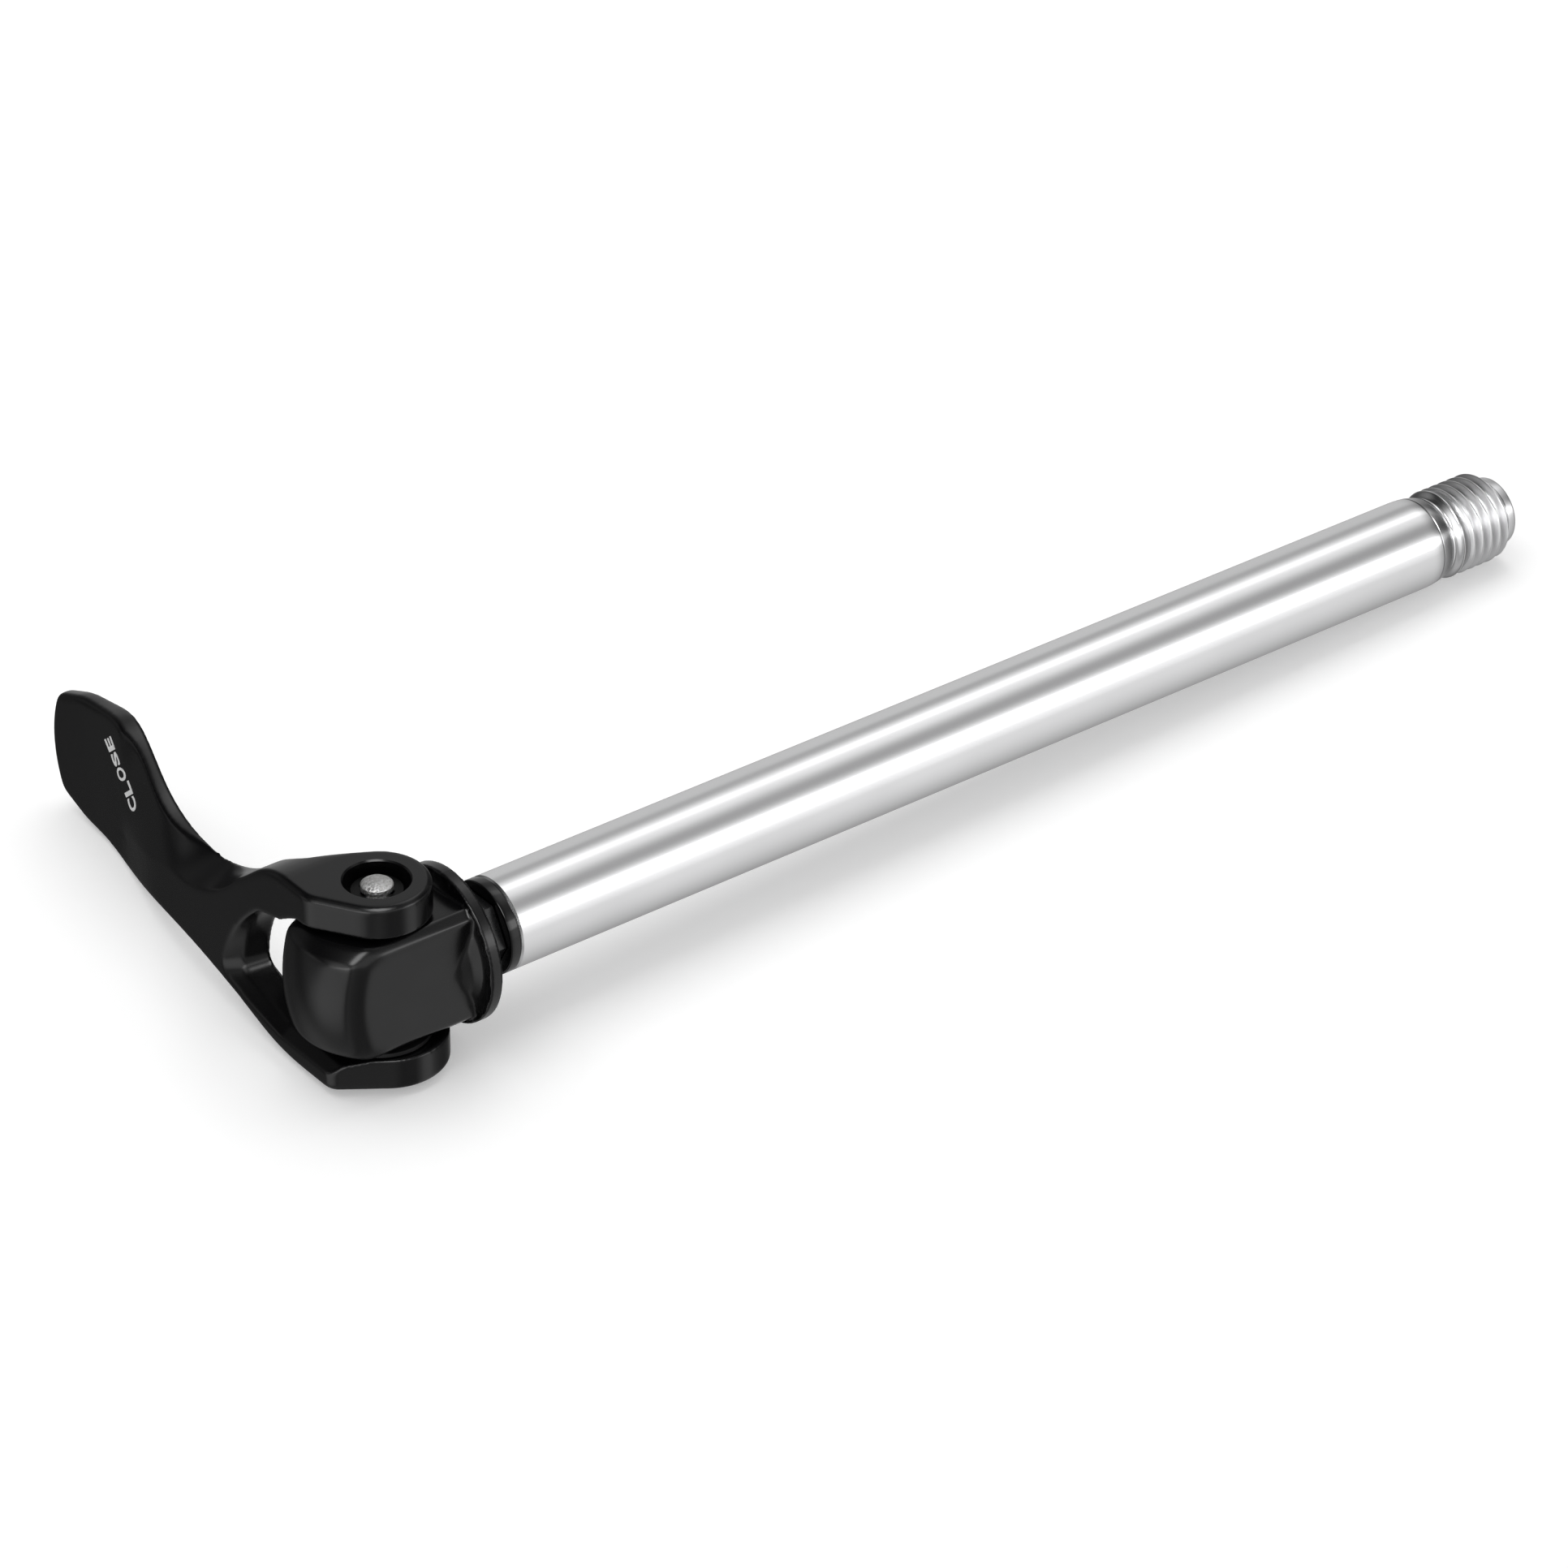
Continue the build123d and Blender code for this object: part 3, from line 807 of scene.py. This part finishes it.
# Stage: a pale board under the part as it lies, on the fork's lower arm, the paddle's edge and
# the thread, in a light tent that is not equally bright all round, which draws the soft bands
# on the tube and keeps the black parts dark where they face the tent's darker walls.
boss_foot = Vector((-4.6, 4.4, -12.8)) * MM
paddle_foot = Vector((-11.4, 51.3, -10.1)) * MM
thread_foot = Vector((163.4, 0.4, -5.92)) * MM
board_half = 3.0
board_corners = (-1, -1), (1, -1), (1, 1), (-1, 1)
board_glow = 0.3
softbox_place = Vector((0.05, 0.25, 1.2))
softbox_aim = Vector((0.07, 0, 0))
softbox_size = 1.6, 1.0
softbox_power = 8.0
white = "#FFFFFF"


def white_board():
    """Matt white board; a little light of its own towards the camera lifts it to paper white and
    leaves the shadow on it."""
    material, tree, shader = new_finish("matt white board")
    rays = add_node(tree, "ShaderNodeLightPath").outputs
    seen = add_node(
        tree, "ShaderNodeMath", {"operation": "MULTIPLY"}, _0=rays["Is Camera Ray"], _1=board_glow,
    ).outputs[0]
    shader.inputs["Base Color"].default_value = linear("#EDEDED")
    shader.inputs["Roughness"].default_value = 0.9
    shader.inputs["Emission Color"].default_value = linear(white)
    tree.links.new(seen, shader.inputs["Emission Strength"])
    return material


board_up = (paddle_foot - boss_foot).cross(thread_foot - boss_foot)
if board_up.z < 0:
    board_up.negate()


def on_board(x, y):
    """Point of the board above or below a place in the frame."""
    away = Vector((x, y, 0)) - boss_foot
    drop = (away.x * board_up.x + away.y * board_up.y) / board_up.z
    return Vector((x, y, boss_foot.z - drop))


board_mesh = bpy.data.meshes.new("white_board")
board_points = [on_board(x * board_half, y * board_half) for x, y in board_corners]
board_mesh.from_pydata(board_points, [], [(0, 1, 2, 3)])
board_mesh.materials.append(white_board())
board = bpy.data.objects.new("white_board", board_mesh)
board.visible_glossy = False
bpy.context.scene.collection.objects.link(board)

lamp = bpy.data.lights.new("overhead softbox", "AREA")
lamp.shape = "RECTANGLE"
lamp.size, lamp.size_y = softbox_size
lamp.energy = softbox_power
softbox = bpy.data.objects.new("overhead softbox", lamp)
softbox.location = softbox_place
softbox_way = Vector((0, 0, 1)).rotation_difference(softbox_place - softbox_aim)
softbox.rotation_euler = softbox_way.to_euler()
softbox.visible_glossy = False
bpy.context.scene.collection.objects.link(softbox)

# Tones of the tent, where 1 is white. Round the axle they go by degrees above the front horizon,
# over the top (90) to the back (180) and under the part (negative), in the tent's thread half and
# its lever half. Along the axle they go by the slant of the view, from -1 at the lever to 1.
tent_thread_half = (
    (-180, 0.58), (-166, 0.56), (-150, 0.4), (-112, 0.36), (-74, 0.57), (-50, 0.72), (-30, 0.82),
    (-14, 0.84), (-9, 1.0), (2, 1.08), (8, 1.15), (12, 3.0), (28, 3.0), (32, 1.1), (37, 0.9),
    (43, 0.6), (50, 0.42), (58, 0.39), (66, 0.44), (74, 0.62), (84, 0.88), (97, 1.0), (101, 1.5),
    (110, 1.5), (114, 1.0), (121, 0.75), (130, 0.44), (142, 0.42), (152, 0.6), (180, 0.58),
)
tent_lever_half = (
    (-180, 0.2), (-141, 0.25), (-128, 0.6), (-115, 0.85), (-60, 0.85), (-30, 0.75), (0, 1.0),
    (8, 1.2), (12, 3.0), (28, 3.0), (32, 1.2), (45, 1.0), (80, 0.9), (100, 0.25), (118, 0.06),
    (136, 0.06), (150, 0.35), (165, 0.35), (180, 0.2),
)
tent_along = (
    (-1, 1.2), (-0.85, 1.2), (-0.76, 0.9), (-0.66, 0.3), (-0.5, 0.5), (-0.4, 0.5), (-0.15, 0.25),
    (0, 0.3), (0.15, 0.25), (0.3, 0.35), (0.4, 0.8), (0.44, 1.0), (0.6, 1.0), (0.72, 0.4),
    (0.85, 0.15), (1, 0.12),
)
tent_peak = 6.0
tent_along_peak = 1.2
tent_turnover = -0.1, 0.3
key_way = Vector((-0.28, -0.5, 0.82)).normalized()
key_edge = math.cos(math.radians(22)), math.cos(math.radians(10))
key_tone = 4.5
room_light = 0.55

world = bpy.data.worlds.new("light tent")
bpy.context.scene.world = world
world.use_nodes = True
air = world.node_tree
way = add_node(air, "ShaderNodeTexCoord").outputs["Generated"]
way_axes = add_node(air, "ShaderNodeSeparateXYZ", _0=way).outputs
front = add_node(
    air, "ShaderNodeMath", {"operation": "MULTIPLY"}, _0=way_axes["Y"], _1=-1.0,
).outputs[0]
rise = add_node(
    air, "ShaderNodeMath", {"operation": "ARCTAN2"}, _0=way_axes["Z"], _1=front,
).outputs[0]
around = add_node(
    air, "ShaderNodeMapRange",
    Value=rise, From_Min=-math.pi, From_Max=math.pi, To_Min=0.0, To_Max=1.0,
).outputs[0]
slant = add_node(
    air, "ShaderNodeMapRange",
    Value=way_axes["X"], From_Min=-1.0, From_Max=1.0, To_Min=0.0, To_Max=1.0,
).outputs[0]
half = add_node(
    air, "ShaderNodeMapRange", {"interpolation_type": "SMOOTHSTEP"}, Value=way_axes["X"],
    From_Min=tent_turnover[0], From_Max=tent_turnover[1], To_Min=0.0, To_Max=1.0,
).outputs[0]

tent_walls = []
for tones, place, peak in (
    (tent_lever_half, around, tent_peak),
    (tent_thread_half, around, tent_peak),
    (tent_along, slant, tent_along_peak),
):
    ramp = add_node(air, "ShaderNodeValToRGB", Fac=place)
    marks = ramp.color_ramp.elements
    first, last = tones[0][0], tones[-1][0]
    for at, tone in tones:
        if at == first:
            mark = marks[0]
        elif at == last:
            mark = marks[len(marks) - 1]
        else:
            mark = marks.new((at - first) / (last - first))
        mark.color = (tone / peak, tone / peak, tone / peak, 1)
    tent_walls.append(ramp.outputs["Color"])
lever_wall, thread_wall, along_wall = tent_walls
tent_round = add_node(
    air, "ShaderNodeMix", {"data_type": "RGBA"}, Factor=half, _6=lever_wall, _7=thread_wall,
).outputs[2]
tent = add_node(
    air, "ShaderNodeMix", {"data_type": "RGBA", "blend_type": "MULTIPLY"},
    Factor=1.0, _6=tent_round, _7=along_wall,
).outputs[2]
background = air.nodes["Background"]
air.links.new(tent, background.inputs["Color"])
background.inputs["Strength"].default_value = tent_peak * tent_along_peak

key_near = add_node(
    air, "ShaderNodeVectorMath", {"operation": "DOT_PRODUCT"}, _0=way, _1=key_way,
).outputs["Value"]
key_glow = add_node(
    air, "ShaderNodeMapRange", {"interpolation_type": "SMOOTHSTEP"}, Value=key_near,
    From_Min=key_edge[0], From_Max=key_edge[1], To_Min=0.0, To_Max=key_tone,
).outputs[0]
key = add_node(air, "ShaderNodeBackground", Color=linear(white), Strength=key_glow).outputs[0]
mirrored = add_node(air, "ShaderNodeAddShader", _0=background.outputs[0], _1=key).outputs[0]

rays = add_node(air, "ShaderNodeLightPath").outputs
plain_strength = add_node(
    air, "ShaderNodeMapRange", Value=rays["Is Camera Ray"],
    From_Min=0.0, From_Max=1.0, To_Min=room_light, To_Max=1.0,
).outputs[0]
plain = add_node(
    air, "ShaderNodeBackground", Color=linear(white), Strength=plain_strength,
).outputs[0]
mirror_rays = add_node(
    air, "ShaderNodeMath", {"operation": "MAXIMUM"},
    _0=rays["Is Glossy Ray"], _1=rays["Is Transmission Ray"],
).outputs[0]
chosen = add_node(
    air, "ShaderNodeMixShader", Fac=mirror_rays, _1=plain, _2=mirrored,
).outputs[0]
air.links.new(chosen, air.nodes["World Output"].inputs["Surface"])


# Camera: where the photograph was taken from, about 0.8 m away from the lever's side, with a long
# lens and no shift.
camera_place = Vector((-373.81, -546.46, 441.24)) * MM
camera_forward = Vector((0.517, 0.668, -0.536)).normalized()
camera_level = Vector((0.792, -0.611, 0.002)).normalized()
camera_up = camera_level.cross(camera_forward).normalized()
camera_right = camera_forward.cross(camera_up)
sensor_width = 36.0
lens_length = 154.66
clip_near, clip_far = 0.01, 20.0

view = bpy.data.cameras.new("photograph")
view.sensor_width = sensor_width
view.lens = lens_length
view.clip_start = clip_near
view.clip_end = clip_far
camera = bpy.data.objects.new("photograph", view)
camera_turn = Matrix((camera_right, camera_up, -camera_forward)).transposed().to_4x4()
camera.matrix_world = Matrix.Translation(camera_place) @ camera_turn
bpy.context.scene.collection.objects.link(camera)
bpy.context.scene.camera = camera
bpy.context.scene.view_settings.view_transform = "Standard"
